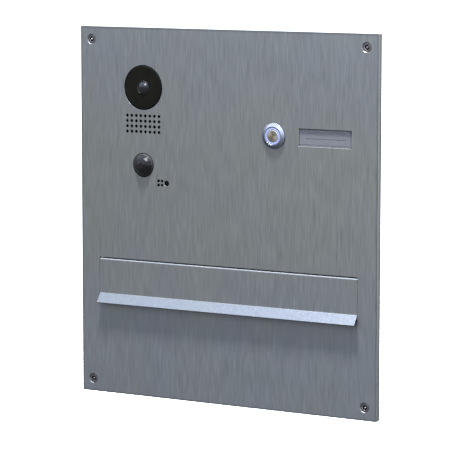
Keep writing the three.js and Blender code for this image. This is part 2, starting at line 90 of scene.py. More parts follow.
FRONT = Place("front_plate").front  # the plate's front face; its back face is at 0
CORNERS = ("top_left", "top_right", "bottom_left", "bottom_right")
SHEET = 1.5  # steel sheet of the flap
GRILLE = {"columns": 8, "rows": 4, "pitch": 4.73, "radius": 1.36}
MICROPHONE = {"columns": 2, "rows": 2, "pitch": 3.6, "radius": 1.28}
SCREW = {"recess": 4.45, "hole": 2.75, "collar": 5.0, "head": 3.9, "shank": 2.4}
FRAME_SCREW = {"hole": 1.9, "depth": 2.6, "shank": 1.6}
CHUTE = {"wall": 1.7, "flange": 9.5, "half": 132.3}
DOME = {"radius": 10.3, "rise": 4.6, "wall": 1.1}
SLOT = {"above": 0.85, "beside": 0.3, "height": 38.5}
HOOK = {"y": 14.0, "below": 3.9, "hole": 0.75}
FLAP_PIVOT = {"y": 2.2, "below_top": 10.0, "hole": 1.6}
LIP = {"out": 5.8, "down": 8.4}
PIN = {"head": 2.6, "shank": 1.5, "groove": 1.2}
TORSION = {"wire": 0.4, "end_x": -133.2}
BUTTON = {"hole": 9.6, "shank": 9.4, "bore": 7.35, "travel": 1.6}

RIM_AND_WALL_SHADE = {"width": 2.4, "shade": 0.38, "cut_edge": 0.42}  # painted shade: how dark the plate's rim and its cut edges are painted
CAMERA = {"lens": 208.0, "location": (1.1533, -1.9387, 0.2691), "down": 6.941, "turn": 30.796}


# ---- outlines

def arc_points(centre, radius, start, end, steps):
    """Points of an arc, angles in degrees, both ends included."""
    points = []
    for i in range(steps + 1):
        angle = math.radians(start + (end - start) * i / steps)
        points.append((centre[0] + radius * math.cos(angle), centre[1] + radius * math.sin(angle)))
    return points


def rounded(corners, radius, closed=False, steps=4):
    """The outline with its corners turned into arcs. A corner (a, b, r) has a radius of its own."""
    points = []
    count = len(corners)
    for i, corner in enumerate(corners):
        here = Vector(corner[:2])
        r = corner[2] if len(corner) > 2 else radius
        if r == 0 or (not closed and i in (0, count - 1)):
            points.append(tuple(here))
            continue
        before = Vector(corners[i - 1][:2]) - here
        after = Vector(corners[(i + 1) % count][:2]) - here
        half = before.angle(after) / 2
        if half > math.radians(89.5):
            points.append(tuple(here))
            continue
        reach = min(r / math.tan(half), 0.48 * before.length, 0.48 * after.length)
        start = here + before.normalized() * reach
        end = here + after.normalized() * reach
        centre = here + (before.normalized() + after.normalized()).normalized() * reach / math.cos(half)
        a = start - centre
        b = end - centre
        turn = a.angle(b)
        for k in range(steps + 1):
            t = k / steps
            arm = (math.sin((1 - t) * turn) * a + math.sin(t * turn) * b) / math.sin(turn)
            points.append(tuple(centre + arm))
    return points


def circle(x, z, radius, sides):
    """A round loop that can be grown or shrunk: a function from the growth to the loop's points."""
    def points(growth):
        loop = []
        for i in range(sides):
            angle = 2 * math.pi * i / sides
            loop.append((x + (radius + growth) * math.cos(angle), z + (radius + growth) * math.sin(angle)))
        return loop
    return points


def round_rectangle(low_x, low_z, high_x, high_z, corner, steps=4):
    """A rectangle with round corners that can be grown or shrunk."""
    def points(growth):
        r = corner + growth
        loop = []
        centres = [(high_x, high_z, 0), (low_x, high_z, 90), (low_x, low_z, 180), (high_x, low_z, 270)]
        for x, z, start in centres:
            cx = x - corner if x == high_x else x + corner
            cz = z - corner if z == high_z else z + corner
            loop += arc_points((cx, cz), r, start, start + 90, steps)
        return loop
    return points


def quarter_round(edge, steps=3):
    """A quarter circle over a soft edge, as (distance in from the side, distance in from the face)."""
    turns = [math.pi / 2 * k / steps for k in range(steps + 1)]
    return [(edge * (1 - math.sin(t)), edge * (1 - math.cos(t))) for t in turns]


def soft_edges(front, back, edge, side, steps=3):
    """Section through a sheet's edge, from front face to back face, as (growth, y). side is 1 at a hole."""
    quarter = quarter_round(edge, steps)
    return [(side * a, front + b) for a, b in quarter] + [(side * b, back - a) for a, b in quarter]


def grid_holes(place, spec):
    holes = []
    for column in range(spec["columns"]):
        for row in range(spec["rows"]):
            dx = (column - (spec["columns"] - 1) / 2) * spec["pitch"]
            dz = (row - (spec["rows"] - 1) / 2) * spec["pitch"]
            holes.append(circle(place.x + dx, place.z + dz, spec["radius"], 24))
    return holes


def catmull_rom(knots, samples):
    """A smooth path through the knots, centripetal, with samples points to each stretch."""
    def between(a, b, start, end, s):
        return a * ((end - s) / (end - start)) + b * ((s - start) / (end - start))

    knots = [Vector(k) for k in knots]
    chain = [knots[0] * 2 - knots[1], *knots, knots[-1] * 2 - knots[-2]]
    path = []
    for i in range(1, len(chain) - 2):
        p = chain[i - 1:i + 3]
        t = [0.0]
        for a, b in zip(p, p[1:]):
            t.append(t[-1] + max((b - a).length, 1e-9) ** 0.5)
        for k in range(samples):
            s = t[1] + (t[2] - t[1]) * k / samples
            a = [between(p[j], p[j + 1], t[j], t[j + 1], s) for j in range(3)]
            b = [between(a[j], a[j + 1], t[j], t[j + 2], s) for j in range(2)]
            path.append(between(b[0], b[1], t[1], t[2], s))
    path.append(knots[-1])
    return path


# ---- meshes

def vertex(bm, x, y, z):
    return bm.verts.new((x * MM, y * MM, z * MM))


def ring(bm, place, y, radius, sides, turn=0.0):
    """Vertices spread evenly round the place's middle, or one on its axis where the radius is 0."""
    if radius < 1e-6:
        return [vertex(bm, place.x, y, place.z)]
    angles = [2 * math.pi * i / sides + turn for i in range(sides)]
    return [vertex(bm, place.x + radius * math.cos(a), y, place.z + radius * math.sin(a)) for a in angles]


def strip(bm, a, b, slot=0):
    """Quads between two closed loops, or triangles where one of them is a single vertex."""
    if len(a) == 1:
        a, b = b, a
    for i, corner in enumerate(a):
        j = (i + 1) % len(a)
        rest = b if len(b) == 1 else (b[j], b[i])
        bm.faces.new((corner, a[j], *rest)).material_index = slot


def skin(bm, loops, slot=0, closed=False, capped=False):
    """Strips from each loop to the next. closed joins the last to the first, and capped fills both ends."""
    following = loops[1:] + loops[:1] if closed else loops[1:]
    for a, b in zip(loops, following):
        strip(bm, a, b, slot)
    if capped:
        bm.faces.new(loops[0])
        bm.faces.new(loops[-1])
    return bm


def turned(section, place, sides=96, closed=False):
    """A solid of revolution about the place's axis along Y. section is [(radius, y)]."""
    bm = bmesh.new()
    return skin(bm, [ring(bm, place, y, radius, sides) for radius, y in section], closed=closed)


def inside(point, loop):
    """Whether a point is inside a closed loop, by counting crossings."""
    x, z = point
    crossings = False
    for (x0, z0), (x1, z1) in zip(loop, loop[1:] + loop[:1]):
        if (z0 > z) != (z1 > z) and x < x0 + (z - z0) * (x1 - x0) / (z1 - z0):
            crossings = not crossings
    return crossings


def fill(bm, loops):
    """A flat face between an outer loop and the holes in it, in a plane across Y."""
    corners = [v for loop in loops for v in loop]
    flat = [Vector((v.co.x / MM, v.co.z / MM)) for v in corners]
    edges = []
    start = 0
    for loop in loops:
        count = len(loop)
        edges += [(start + i, start + (i + 1) % count) for i in range(count)]
        start += count
    found = delaunay_2d_cdt(flat, edges, [], 1, 1e-6)
    triangles = found[2]
    source = [ids[0] for ids in found[3]]
    holes = [[(v.co.x / MM, v.co.z / MM) for v in loop] for loop in loops[1:]]
    boxes = [(min(p[0] for p in h), max(p[0] for p in h), min(p[1] for p in h), max(p[1] for p in h))
             for h in holes]
    for triangle in triangles:
        ids = [source[i] for i in triangle]
        x = sum(flat[i].x for i in ids) / 3
        z = sum(flat[i].y for i in ids) / 3
        near = [h for h, b in zip(holes, boxes) if b[0] < x < b[1] and b[2] < z < b[3]]
        if not any(inside((x, z), h) for h in near):
            bm.faces.new([corners[i] for i in ids])


def pierced_sheet(outer, openings, blind_holes=()):
    """A flat sheet with openings, and blind holes in its back.

    Each is (shape, section), or (shape, section, number of its walls' material slot).
    """
    bm = bmesh.new()

    def walls(shape, section, slot=0):
        loops = [[vertex(bm, x, y, z) for x, z in shape(growth)] for growth, y in section]
        skin(bm, loops, slot)
        return loops

    through = [walls(*opening) for opening in [outer, *openings]]
    blind = [walls(*hole) for hole in blind_holes]
    for loops in blind:
        bm.faces.new(loops[-1])
    fill(bm, [loops[0] for loops in through])
    fill(bm, [loops[-1] for loops in through] + [loops[0] for loops in blind])
    return bm


def shrunk(outline, amount):
    """The closed outline moved inwards by amount."""
    count = len(outline)
    area = sum(a[0] * b[1] - b[0] * a[1] for a, b in zip(outline, outline[1:] + outline[:1]))
    side = 1 if area > 0 else -1
    points = []
    for i in range(count):
        here = Vector(outline[i])
        before = (here - Vector(outline[i - 1])).normalized()
        after = (Vector(outline[(i + 1) % count]) - here).normalized()
        normal_a = Vector((-before.y, before.x)) * side
        normal_b = Vector((-after.y, after.x)) * side
        mean = (normal_a + normal_b).normalized()
        points.append(tuple(here + mean * amount / max(mean.dot(normal_a), 0.4)))
    return points


def bar_along_x(outline, low_x, high_x, edge=0.15):
    """An outline in (y, z) stretched along X, with soft edges at both ends."""
    bm = bmesh.new()
    quarter = quarter_round(edge)
    stations = [(low_x + b, a) for a, b in quarter] + [(high_x - a, b) for a, b in quarter]
    loops = [[vertex(bm, x, y, z) for y, z in shrunk(outline, inset)] for x, inset in stations]
    return skin(bm, loops, capped=True)


def swept(path, radius, sides=16):
    """A round bar along a path, with slightly rounded ends."""
    bm = bmesh.new()
    path = [Vector(p) for p in path]
    count = len(path)
    tangents = [(path[min(i + 1, count - 1)] - path[max(i - 1, 0)]).normalized() for i in range(count)]
    across = tangents[0].orthogonal().normalized()
    rows = []
    for point, along in zip(path, tangents):
        across = (across - along * across.dot(along)).normalized()
        rows.append((point, along, across, along.cross(across), radius))
    caps = []
    for step, (point, along, a, b, _) in ((-1, rows[0]), (1, rows[-1])):
        caps.append((point + along * step * radius * 0.2, along, a, b, radius * 0.8))
    loops = []
    for point, _, a, b, r in [caps[0], *rows, caps[1]]:
        angles = [2 * math.pi * k / sides for k in range(sides)]
        loops.append([vertex(bm, *(point + (a * math.cos(t) + b * math.sin(t)) * r)) for t in angles])
    return skin(bm, loops, capped=True)


def hex_nut(place, flats, bore, turn, sides=96):
    """A nut with chamfered corners and a chamfered bore."""
    bm = bmesh.new()
    front, back = place.front, place.back
    steps = 5
    corner = math.radians(60)

    def bore_loop(y, radius):
        return ring(bm, place, y, radius, sides, turn)

    def hexagon_loop(y, limit):
        loop = []
        for i in range(sides):
            angle = 2 * math.pi * i / sides
            r = min(flats / 2 / math.cos(angle % corner - corner / 2), limit)
            x = place.x + r * math.cos(angle + turn)
            z = place.z + r * math.sin(angle + turn)
            loop.append(vertex(bm, x, y, z))
        return loop

    start = flats / 2 * 0.985
    rise = flats / math.sqrt(3) - start
    chamfer = []
    for k in range(steps + 1):
        chamfer.append((0.2 * (back - front) * k / steps, start + rise * (k / steps) ** 0.8))
    loops = [bore_loop(front + 0.25, bore), bore_loop(front, bore + 0.3)]
    loops += [hexagon_loop(front + depth, limit) for depth, limit in chamfer]
    loops += [hexagon_loop(back - depth, limit) for depth, limit in reversed(chamfer)]
    loops += [bore_loop(back, bore + 0.3), bore_loop(back - 0.25, bore)]
    return skin(bm, loops, closed=True)


def thread(start, end, radius, depth, pitch):
    """Section of a thread between two places along Y, as (radius, y)."""
    points = []
    count = int((end - start) / pitch)
    step = (end - start) / count
    for i in range(count):
        y = start + step * i
        points += [(radius, y + 0.06 * step), (radius, y + 0.19 * step),
                   (radius - depth, y + 0.56 * step), (radius - depth, y + 0.69 * step)]
    return points


def mesh_of(bm, name, sharp_above=38.0):
    """The finished mesh: faces out and smooth, with edges sharper than the angle kept sharp."""
    bmesh.ops.recalc_face_normals(bm, faces=bm.faces)
    mesh = bpy.data.meshes.new(name)
    bm.to_mesh(mesh)
    bm.free()
    mesh.polygons.foreach_set("use_smooth", [True] * len(mesh.polygons))
    mesh.set_sharp_from_angle(angle=math.radians(sharp_above))
    return mesh


def added(name, data):
    """A new object in the scene."""
    piece = bpy.data.objects.new(name, data)
    bpy.context.scene.collection.objects.link(piece)
    return piece


def combined(target, tool, operation):
    """Boolean of two bmeshes, as a new bmesh."""
    objects = [added("boolean_part", mesh_of(bm, "boolean_part")) for bm in (target, tool)]
    modifier = objects[0].modifiers.new("cut", "BOOLEAN")
    modifier.operation = operation
    modifier.solver = "EXACT"
    modifier.object = objects[1]
    bpy.context.view_layer.update()
    graph = bpy.context.evaluated_depsgraph_get()
    result = bmesh.new()
    result.from_mesh(objects[0].evaluated_get(graph).to_mesh())
    for part in objects:
        mesh = part.data
        bpy.data.objects.remove(part)
        bpy.data.meshes.remove(mesh)
    return result


def drilled(bm, start, end, radius, sides=32):
    return combined(bm, swept([start, end], radius, sides), "DIFFERENCE")


def publish(node, build, *details, sharp_above=38.0, weighted=True, ride=True):
    """Builds a fine piece in place of a CAD node, on the same body and with the same finish."""
    piece = added(node + "_fine", mesh_of(build(Place(node), *details), node, sharp_above))
    piece.data.materials.append(MATERIALS[SLOT_OF[node]])
    if weighted:
        normals = piece.modifiers.new("normals", "WEIGHTED_NORMAL")
        normals.keep_sharp = True
        normals.mode = "FACE_AREA"
    if ride:
        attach(piece, BODY_OF[node])
    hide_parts(node)
    return piece


def soften(node, width):
    """Keeps a CAD node and gives it small round edges."""
    piece = frame["nodes"][node]
    weld = piece.modifiers.new("weld", "WELD")
    weld.merge_threshold = 1e-6
    flat = piece.modifiers.new("flat", "DECIMATE")
    flat.decimate_type = "DISSOLVE"
    flat.angle_limit = math.radians(0.5)
    bevel = piece.modifiers.new("bevel", "BEVEL")
    bevel.width = width * MM
    bevel.segments = 2
    bevel.limit_method = "ANGLE"
    bevel.angle_limit = math.radians(35)
    bevel.harden_normals = True
    bevel.use_clamp_overlap = True


# ---- materials

class Nodes:
    """A node tree, with short ways to add nodes and join them."""

    def __init__(self, tree):
        self.tree = tree

    def add(self, kind, inputs=None, **settings):
        node = self.tree.nodes.new(kind)
        for key, value in settings.items():
            setattr(node, key, value)
        for key, value in (inputs or {}).items():
            self.put(node.inputs[key], value)
        return node

    def put(self, socket, value):
        """Links a node's output, or sets a value."""
        if isinstance(value, bpy.types.NodeSocket):
            self.tree.links.new(value, socket)
        else:
            socket.default_value = value

    def position(self, kind="Object", unit=MM):
        """X, Y and Z of a point on the surface, in millimetres."""
        point = self.add("ShaderNodeTexCoord").outputs[kind]
        scaled = self.add("ShaderNodeVectorMath", {0: point, "Scale": 1 / unit}, operation="SCALE")
        return tuple(self.add("ShaderNodeSeparateXYZ", {"Vector": scaled.outputs["Vector"]}).outputs)

    def math(self, operation, a, b=0.0, c=0.0, clamp=False):
        node = self.add("ShaderNodeMath", {0: a, 1: b, 2: c}, operation=operation, use_clamp=clamp)
        return node.outputs["Value"]

    def plus(self, a, b):
        return self.math("ADD", a, b)

    def minus(self, a, b):
        return self.math("SUBTRACT", a, b)

    def times(self, a, b):
        return self.math("MULTIPLY", a, b)

    def span(self, value, low, high, to_low=0.0, to_high=1.0):
        node = self.add("ShaderNodeMapRange", {"Value": value, "From Min": low, "From Max": high,
                                               "To Min": to_low, "To Max": to_high})
        return node.outputs["Result"]

    def ramp(self, value, stops):
        node = self.add("ShaderNodeValToRGB", {"Fac": value})
        elements = node.color_ramp.elements
        while len(elements) < len(stops):
            elements.new(0.5)
        for element, (place, color) in zip(elements, stops):
            element.position = place
            element.color = (*color, 1)
        return node.outputs["Color"]


class Surface(Nodes):
    """A material, built round its Principled shader."""

    def __init__(self, name, color, roughness, metallic=0.0, **sockets):
        self.material = bpy.data.materials.new(name)
        self.material.use_nodes = True
        self.material.diffuse_color = (*color, 1)
        super().__init__(self.material.node_tree)
        self.shader = self.tree.nodes["Principled BSDF"]
        sockets.update(Base_Color=(*color, 1), Roughness=roughness, Metallic=metallic)
        for socket, value in sockets.items():
            self.set(socket.replace("_", " "), value)

    def set(self, socket, value):
        self.put(self.shader.inputs[socket], value)

    def made(self, socket):
        """What is linked to the shader's socket so far."""
        return self.shader.inputs[socket].links[0].from_socket

    def coordinates(self, scale=(1, 1, 1), offset=(0, 0, 0)):
        place = self.add("ShaderNodeTexCoord").outputs["Object"]
        mapping = self.add("ShaderNodeMapping", {"Vector": place, "Scale": scale, "Location": offset})
        return mapping.outputs["Vector"]

    def noise(self, scale, detail, vector=None):
        inputs = {"Vector": vector or self.coordinates(), "Scale": scale, "Detail": detail}
        return self.add("ShaderNodeTexNoise", inputs).outputs["Fac"]

    def tone(self, color):
        """Multiplies the base colour by another colour."""
        node = self.add("ShaderNodeVectorMath", {0: self.made("Base Color"), 1: color}, operation="MULTIPLY")
        self.set("Base Color", node.outputs["Vector"])

    def shade(self, factor):
        """Multiplies the base colour by a number."""
        inputs = {0: self.made("Base Color"), "Scale": factor}
        node = self.add("ShaderNodeVectorMath", inputs, operation="SCALE")
        self.set("Base Color", node.outputs["Vector"])

    def mix(self, factor, a, b):
        """Colour a where the factor is 0 and the plain colour b where it is 1."""
        return self.add("ShaderNodeMix", {0: factor, 6: a, 7: (*b, 1)}, data_type="RGBA").outputs[2]

    def mottle(self, value, color, darker, lighter):
        """Base colour between a darker and a lighter shade of a colour."""
        stops = [(place, [c * k for c in color]) for place, k in ((0.3, darker), (0.7, lighter))]
        self.set("Base Color", self.ramp(value, stops))

    def gloss(self, value, low, high):
        self.set("Roughness", self.span(value, 0.3, 0.7, low, high))

    def bump(self, height, strength, distance):
        node = self.add("ShaderNodeBump", {"Height": height, "Strength": strength, "Distance": distance})
        self.set("Normal", node.outputs["Normal"])

    def radius_from(self, place, mirrored=False):
        """Distance from a piece's axis, in millimetres. mirrored counts its mirror images' axes too."""
        x, _, z = self.position()
        squares = []
        for along, middle in ((x, place.x), (z, place.z)):
            reach = self.math("ABSOLUTE", along) if mirrored else along
            off = self.minus(reach, middle)
            squares.append(self.times(off, off))
        return self.math("SQRT", self.plus(*squares))


def brushed_steel(name, color, roughness, along="Z", offset=(0, 0, 0), contrast=0.13, metallic=1.0):
    """Sheet steel with straight grain: streaks of three widths in colour, gloss and height."""
    steel = Surface(name, color, roughness, metallic, Anisotropic=0.4)

    def streaks(width, stretch):
        fine = 1 / (width * MM)
        scale = (fine / stretch, fine, fine) if along == "X" else (fine, fine, fine / stretch)
        return steel.minus(steel.noise(1.0, 1.0, steel.coordinates(scale, offset)), 0.5)

    total = 0.0
    for width, stretch, weight in ((2.2, 12, 0.1), (1.0, 20, 0.45), (0.55, 34, 0.65)):
        total = steel.plus(total, steel.times(streaks(width, stretch), weight))
    tint = steel.noise(1.0, 1.0, steel.coordinates((18, 18, 11), offset))
    cool = [c * k for c, k in zip(color, (0.985, 0.99, 1.02))]
    warm = [c * k for c, k in zip(color, (1.005, 1.01, 0.985))]
    steel.set("Base Color", steel.ramp(tint, [(0.35, cool), (0.65, warm)]))
    steel.shade(steel.plus(1.0, steel.times(total, contrast * 4)))
    steel.set("Roughness", steel.plus(roughness, steel.times(total, 0.25)))
    scratches = steel.times(streaks(0.15, 40), 0.5)
    steel.bump(steel.plus(scratches, total), 0.25, 0.00006)
    tangent = {"X": float(along == "X"), "Y": 0.0, "Z": float(along == "Z")}
    steel.set("Tangent", steel.add("ShaderNodeCombineXYZ", tangent).outputs["Vector"])
    return steel


def painted_reflection_and_shade(steel, place, border):
    """Painted sky reflection, bluish at the ends of its height and neutral between, and painted shade, darker
    at its border and on its cut edges.
    """
    x, y, z = steel.position()
    # Painted sky reflection: bluish near the top and bottom of the plate, neutral between.
    height = steel.span(z, place.low.z, place.high.z)
    steel.tone(steel.ramp(height, [(0.2, (0.97, 0.98, 1.04)), (0.42, (0.99, 0.99, 0.97)),
                                   (0.68, (1.0, 1.0, 0.97)), (0.88, (1.0, 1.0, 1.03)),
                                   (1.0, (1.03, 1.03, 1.06))]))
    if border:
        # Painted shade: darker towards the plate's rim on its front face.
        from_side = steel.minus(place.high.x, steel.math("ABSOLUTE", x))
        from_top = steel.minus(place.high.z, steel.math("ABSOLUTE", z))
        nearest = steel.math("MINIMUM", from_side, from_top)
        on_front = steel.math("LESS_THAN", y, FRONT + 0.2)
        painted_rim_shade = steel.span(nearest, 0.0, RIM_AND_WALL_SHADE["width"], RIM_AND_WALL_SHADE["shade"], 0.0)
        steel.shade(steel.minus(1.0, steel.times(on_front, painted_rim_shade)))
        # Painted shade: darker on the walls of its openings and its sides away from the front face, but not
        # on the back face.
        cut = steel.span(y, FRONT + 0.3, FRONT + 0.9, 1.0, RIM_AND_WALL_SHADE["cut_edge"])
        back = steel.span(y, -0.2, -0.05)
        steel.shade(steel.math("MAXIMUM", cut, back))
    return steel


def turned_steel(name, color, roughness, place):
    """Turned metal: fine rings about the piece's axis."""
    steel = Surface(name, color, roughness, 1.0, Anisotropic=0.6)
    radius = steel.radius_from(place)
    rings = steel.add("ShaderNodeTexNoise", {"W": steel.times(radius, 6.0), "Detail": 3.0},
                      noise_dimensions="1D").outputs["Fac"]
    steel.mottle(rings, color, 0.9, 1.08)
    steel.gloss(rings, roughness * 0.85, roughness * 1.2)
    steel.bump(rings, 0.2, 0.00004)
    tangent = steel.add("ShaderNodeTangent", direction_type="RADIAL", axis="Y").outputs["Tangent"]
    steel.set("Tangent", tangent)
    return steel


def plain_metal(name, color, roughness):
    """Machined or drawn metal with fine marks and slight stains."""
    metal = Surface(name, color, roughness, 1.0)
    marks = metal.noise(900.0, 4.0)
    metal.mottle(metal.noise(60.0, 3.0), color, 0.82, 1.1)
    metal.gloss(marks, roughness * 0.8, roughness * 1.25)
    metal.bump(marks, 0.15, 0.00005)
    return metal


def corner_screw_steel():
    """Screw steel with painted shade, black inside the socket where light hardly gets in, and a painted
    highlight on the pin's tip.
    """
    steel = plain_metal("screw_steel_corner", (0.2, 0.2, 0.21), 0.34)
    place = Place("corner_screw_top_right")
    on_pin = steel.math("LESS_THAN", steel.radius_from(place, mirrored=True), 0.85)
    depth = steel.span(steel.position()[1], place.front, place.front + 3)
    black = (0.04, 0.04, 0.04)
    # Painted shade: black down the socket's walls.
    shade = steel.ramp(depth, [(0.1, (1, 1, 1)), (0.2, black), (0.85, black), (1.0, (1, 1, 1))])
    # Painted highlight: the pin 2.8 times as bright.
    steel.tone(steel.mix(on_pin, shade, (2.8, 2.8, 2.8)))
    return steel


def actuator_steel():
    """Turned cap of the call button, browner towards the middle."""
    place = Place("button_actuator")
    steel = turned_steel("bezel_steel_actuator", (0.36, 0.355, 0.33), 0.4, place)
    across = steel.math("DIVIDE", steel.radius_from(place), place.radius)
    steel.tone(steel.ramp(across, [(0.0, (0.82, 0.7, 0.45)), (0.3, (0.85, 0.76, 0.55)),
                                   (0.65, (1.0, 0.97, 0.9)), (1.0, (1.0, 1.0, 1.0))]))
    return steel


def moulded_plastic(name, color, roughness, grain=2200.0):
    """Plastic from a spark-eroded mould: fine grain, and slight unevenness in gloss."""
    plastic = Surface(name, color, roughness, Specular_IOR_Level=0.4)
    cells = plastic.add("ShaderNodeTexVoronoi", {"Vector": plastic.coordinates(), "Scale": grain})
    cloud = plastic.noise(45.0, 3.0)
    plastic.mottle(cloud, color, 0.85, 1.2)
    plastic.gloss(cloud, roughness * 0.9, min(1.0, roughness * 1.1))
    plastic.bump(cells.outputs["Distance"], 0.35, 0.00004)
    return plastic


def rubber(name, color, roughness, grain=1500.0):
    """Matt rubber with fine pores and a little bloom."""
    matt = Surface(name, color, roughness, Specular_IOR_Level=0.25)
    pores = matt.noise(grain, 3.0)
    bloom = matt.noise(70.0, 3.0)
    matt.set("Base Color", matt.ramp(bloom, [(0.35, color), (0.75, [c * 1.7 + 0.003 for c in color])]))
    matt.gloss(pores, roughness * 0.9, min(1.0, roughness * 1.08))
    matt.bump(pores, 0.3, 0.00006)
    return matt


def black_window():
    """Polished black window: a matt black print at its rim and a faint haze over the middle."""
    place = Place("camera_window")
    glass = Surface("window_black", (0.006, 0.006, 0.0055), 0.12, Specular_IOR_Level=0.1)
    rim = glass.span(glass.radius_from(place), place.radius - 1.35, place.radius - 1.05)
    haze = glass.noise(130.0, 3.0)
    middle = glass.ramp(haze, [(0.3, (0.0045, 0.0045, 0.0036)), (0.7, (0.0062, 0.0062, 0.0052))])
    glass.set("Base Color", glass.mix(rim, middle, (0.0005, 0.0005, 0.0008)))
    glass.set("Roughness", glass.plus(0.12, glass.times(rim, 0.6)))
    return glass


def lens_glass():
    """Coated lens: a dark pupil, a faint blue-grey ring of painted reflection standing for the inner
    elements, and a black edge.
    """
    lens = Surface("lens_glass", (0.004, 0.004, 0.006), 0.05, Specular_IOR_Level=0.65, IOR=1.6)
    radius = lens.radius_from(Place("lens_front_element"))
    # Painted reflection: the faint blue-grey ring stands in for reflections off the inner elements.
    lens.set("Base Color", lens.ramp(lens.math("DIVIDE", radius, 5.5), [
        (0.0, (0.0015, 0.0015, 0.002)), (0.24, (0.002, 0.002, 0.003)), (0.34, (0.004, 0.005, 0.008)),
        (0.5, (0.006, 0.007, 0.011)), (0.62, (0.002, 0.003, 0.003)), (0.76, (0.004, 0.0035, 0.006)),
        (0.9, (0.001, 0.001, 0.001))]))
    lens.set("Roughness", lens.span(lens.noise(400.0, 3.0), 0.4, 0.7, 0.03, 0.06))
    return lens


def dome_plastic():
    """Dark glossy lens dome, slightly brownish, with moulding lines and a matt black rim."""
    dome = Surface("dome_black", (0.014, 0.013, 0.015), 0.1, Specular_IOR_Level=0.55)
    rim = dome.span(dome.radius_from(Place("motion_dome")), DOME["radius"] - 1.0, DOME["radius"] - 0.6)
    cloud = dome.noise(260.0, 4.0)
    body = dome.ramp(cloud, [(0.3, (0.001, 0.001, 0.001)), (0.7, (0.005, 0.004, 0.005))])
    dome.set("Base Color", dome.mix(rim, body, (0.001, 0.001, 0.0015)))
    gloss = dome.span(cloud, 0.3, 0.7, 0.06, 0.16)
    dome.set("Roughness", dome.plus(gloss, dome.times(rim, 0.7)))
    return dome


def lit_ring():
    """Opal light guide: two pale rings of light with a bluer band between them and dark blue edges."""
    guide = Surface("light_ring", (0.12, 0.14, 0.22), 0.6, Emission_Strength=1.0)
    across = guide.span(guide.radius_from(Place("button_light_ring")), 5.6, 7.3)
    guide.set("Emission Color", guide.ramp(across, [
        (0.0, (0.08, 0.10, 0.3)), (0.2, (0.42, 0.45, 0.68)), (0.36, (0.15, 0.18, 0.46)),
        (0.65, (0.16, 0.2, 0.52)), (0.85, (0.36, 0.4, 0.68)), (1.0, (0.03, 0.05, 0.25))]))
    guide.gloss(guide.noise(900.0, 2.0), 0.55, 0.65)
    return guide


def clear_window():
    """Clear plastic with a faint haze."""
    clear = Surface("clear_window", (0.1, 0.11, 0.13), 0.08, Alpha=0.1, Specular_IOR_Level=0.4)
    clear.gloss(clear.noise(160.0, 3.0), 0.06, 0.14)
    return clear


def nameplate_card():
    """Blank insert: fine paper grain, a thin printed border on two sides and a plain writing rule."""
    place = Place("nameplate_insert")
    card = Surface("nameplate_card", (0.2, 0.21, 0.25), 0.7)
    x, _, z = card.position()
    from_right = card.minus(place.high.x, x)
    from_bottom = card.minus(z, place.low.z)
    border = card.math("COMPARE", card.math("MINIMUM", from_right, from_bottom), 1.2, 0.2)
    from_middle = card.math("ABSOLUTE", card.minus(x, place.x))
    on_rule = card.math("COMPARE", z, place.z - 0.8, 0.28)
    rule = card.times(on_rule, card.math("LESS_THAN", from_middle, place.radius - 6))
    ink = card.math("MAXIMUM", border, rule, clamp=True)
    fibres = card.noise(1800.0, 4.0)
    paper = card.ramp(fibres, [(0.3, (0.125, 0.131, 0.152)), (0.7, (0.147, 0.154, 0.177))])
    card.set("Base Color", card.mix(ink, paper, (0.035, 0.038, 0.045)))
    card.bump(fibres, 0.2, 0.00003)
    return card


def circuit_board():
    """Green solder mask with a faint pattern of tracks under it."""
    board = Surface("circuit_board", (0.01, 0.06, 0.02), 0.35)
    tracks = board.add("ShaderNodeTexBrick", {"Vector": board.coordinates((1, 0, 1)), "Scale": 260.0,
                                              "Mortar Size": 0.03}).outputs["Fac"]
    mask = board.ramp(board.noise(120.0, 2.0), [(0.3, (0.006, 0.045, 0.016)), (0.7, (0.010, 0.065, 0.024))])
    board.set("Base Color", board.mix(tracks, mask, (0.016, 0.11, 0.04)))
    board.bump(tracks, 0.2, 0.00003)
    return board


def acoustic_mesh():
    """Blackened wire cloth."""
    cloth = Surface("dark_mesh", (0.006, 0.006, 0.006), 0.6, 0.3)
    waves = []
    for axis in ("X", "Z"):
        inputs = {"Vector": cloth.coordinates(), "Scale": 420.0}
        waves.append(cloth.add("ShaderNodeTexWave", inputs, bands_direction=axis).outputs["Fac"])
    height = cloth.math("MAXIMUM", *waves)
    cloth.set("Base Color", cloth.ramp(height, [(0.4, (0.001, 0.001, 0.001)), (0.9, (0.012, 0.012, 0.013))]))
    cloth.bump(height, 0.5, 0.0001)
    return cloth


def plate_steel(name, offset=(0, 0, 0), border=True):
    steel = brushed_steel(name, (0.2425, 0.2545, 0.2515), 0.42, offset=offset, metallic=0.9)
    return painted_reflection_and_shade(steel, Place("front_plate"), border)


def flap_steel():
    """The plate's steel, with a painted highlight along the front of its rounded top edge and painted shade
    behind it, a little glossier near the top, and painted bluish skylight on the lip.
    """
    flap = Place("letter_flap")
    steel = plate_steel("plate_steel_flap", (3.7, 0, 1.3), border=False)
    _, y, z = steel.position()
    top = flap.high.z
    crease = flap.low.z + LIP["down"]
    # Painted highlight on the front of the rounded top edge, and painted shade on the edge behind it, by the
    # gap.
    painted_bend_highlight_and_shade = steel.span(y, FRONT + 0.5, FRONT + 1.1, 2.8, -0.93)
    at_bend = steel.span(z, top - 1.1, top - 0.6)
    on_face = steel.span(z, crease - 0.6, crease - 0.2)
    # Painted skylight: the lip a little darker and bluer than the face.
    steel.tone(steel.ramp(on_face, [(0.0, (0.85, 0.885, 0.97)), (1.0, (1.0, 1.0, 1.0))]))
    steel.shade(steel.plus(1.0, steel.times(at_bend, painted_bend_highlight_and_shade)))
    polish = steel.span(z, top - 2.2, top - 1.4, 0.0, 0.08)
    steel.set("Roughness", steel.minus(steel.made("Roughness"), polish))
    return steel


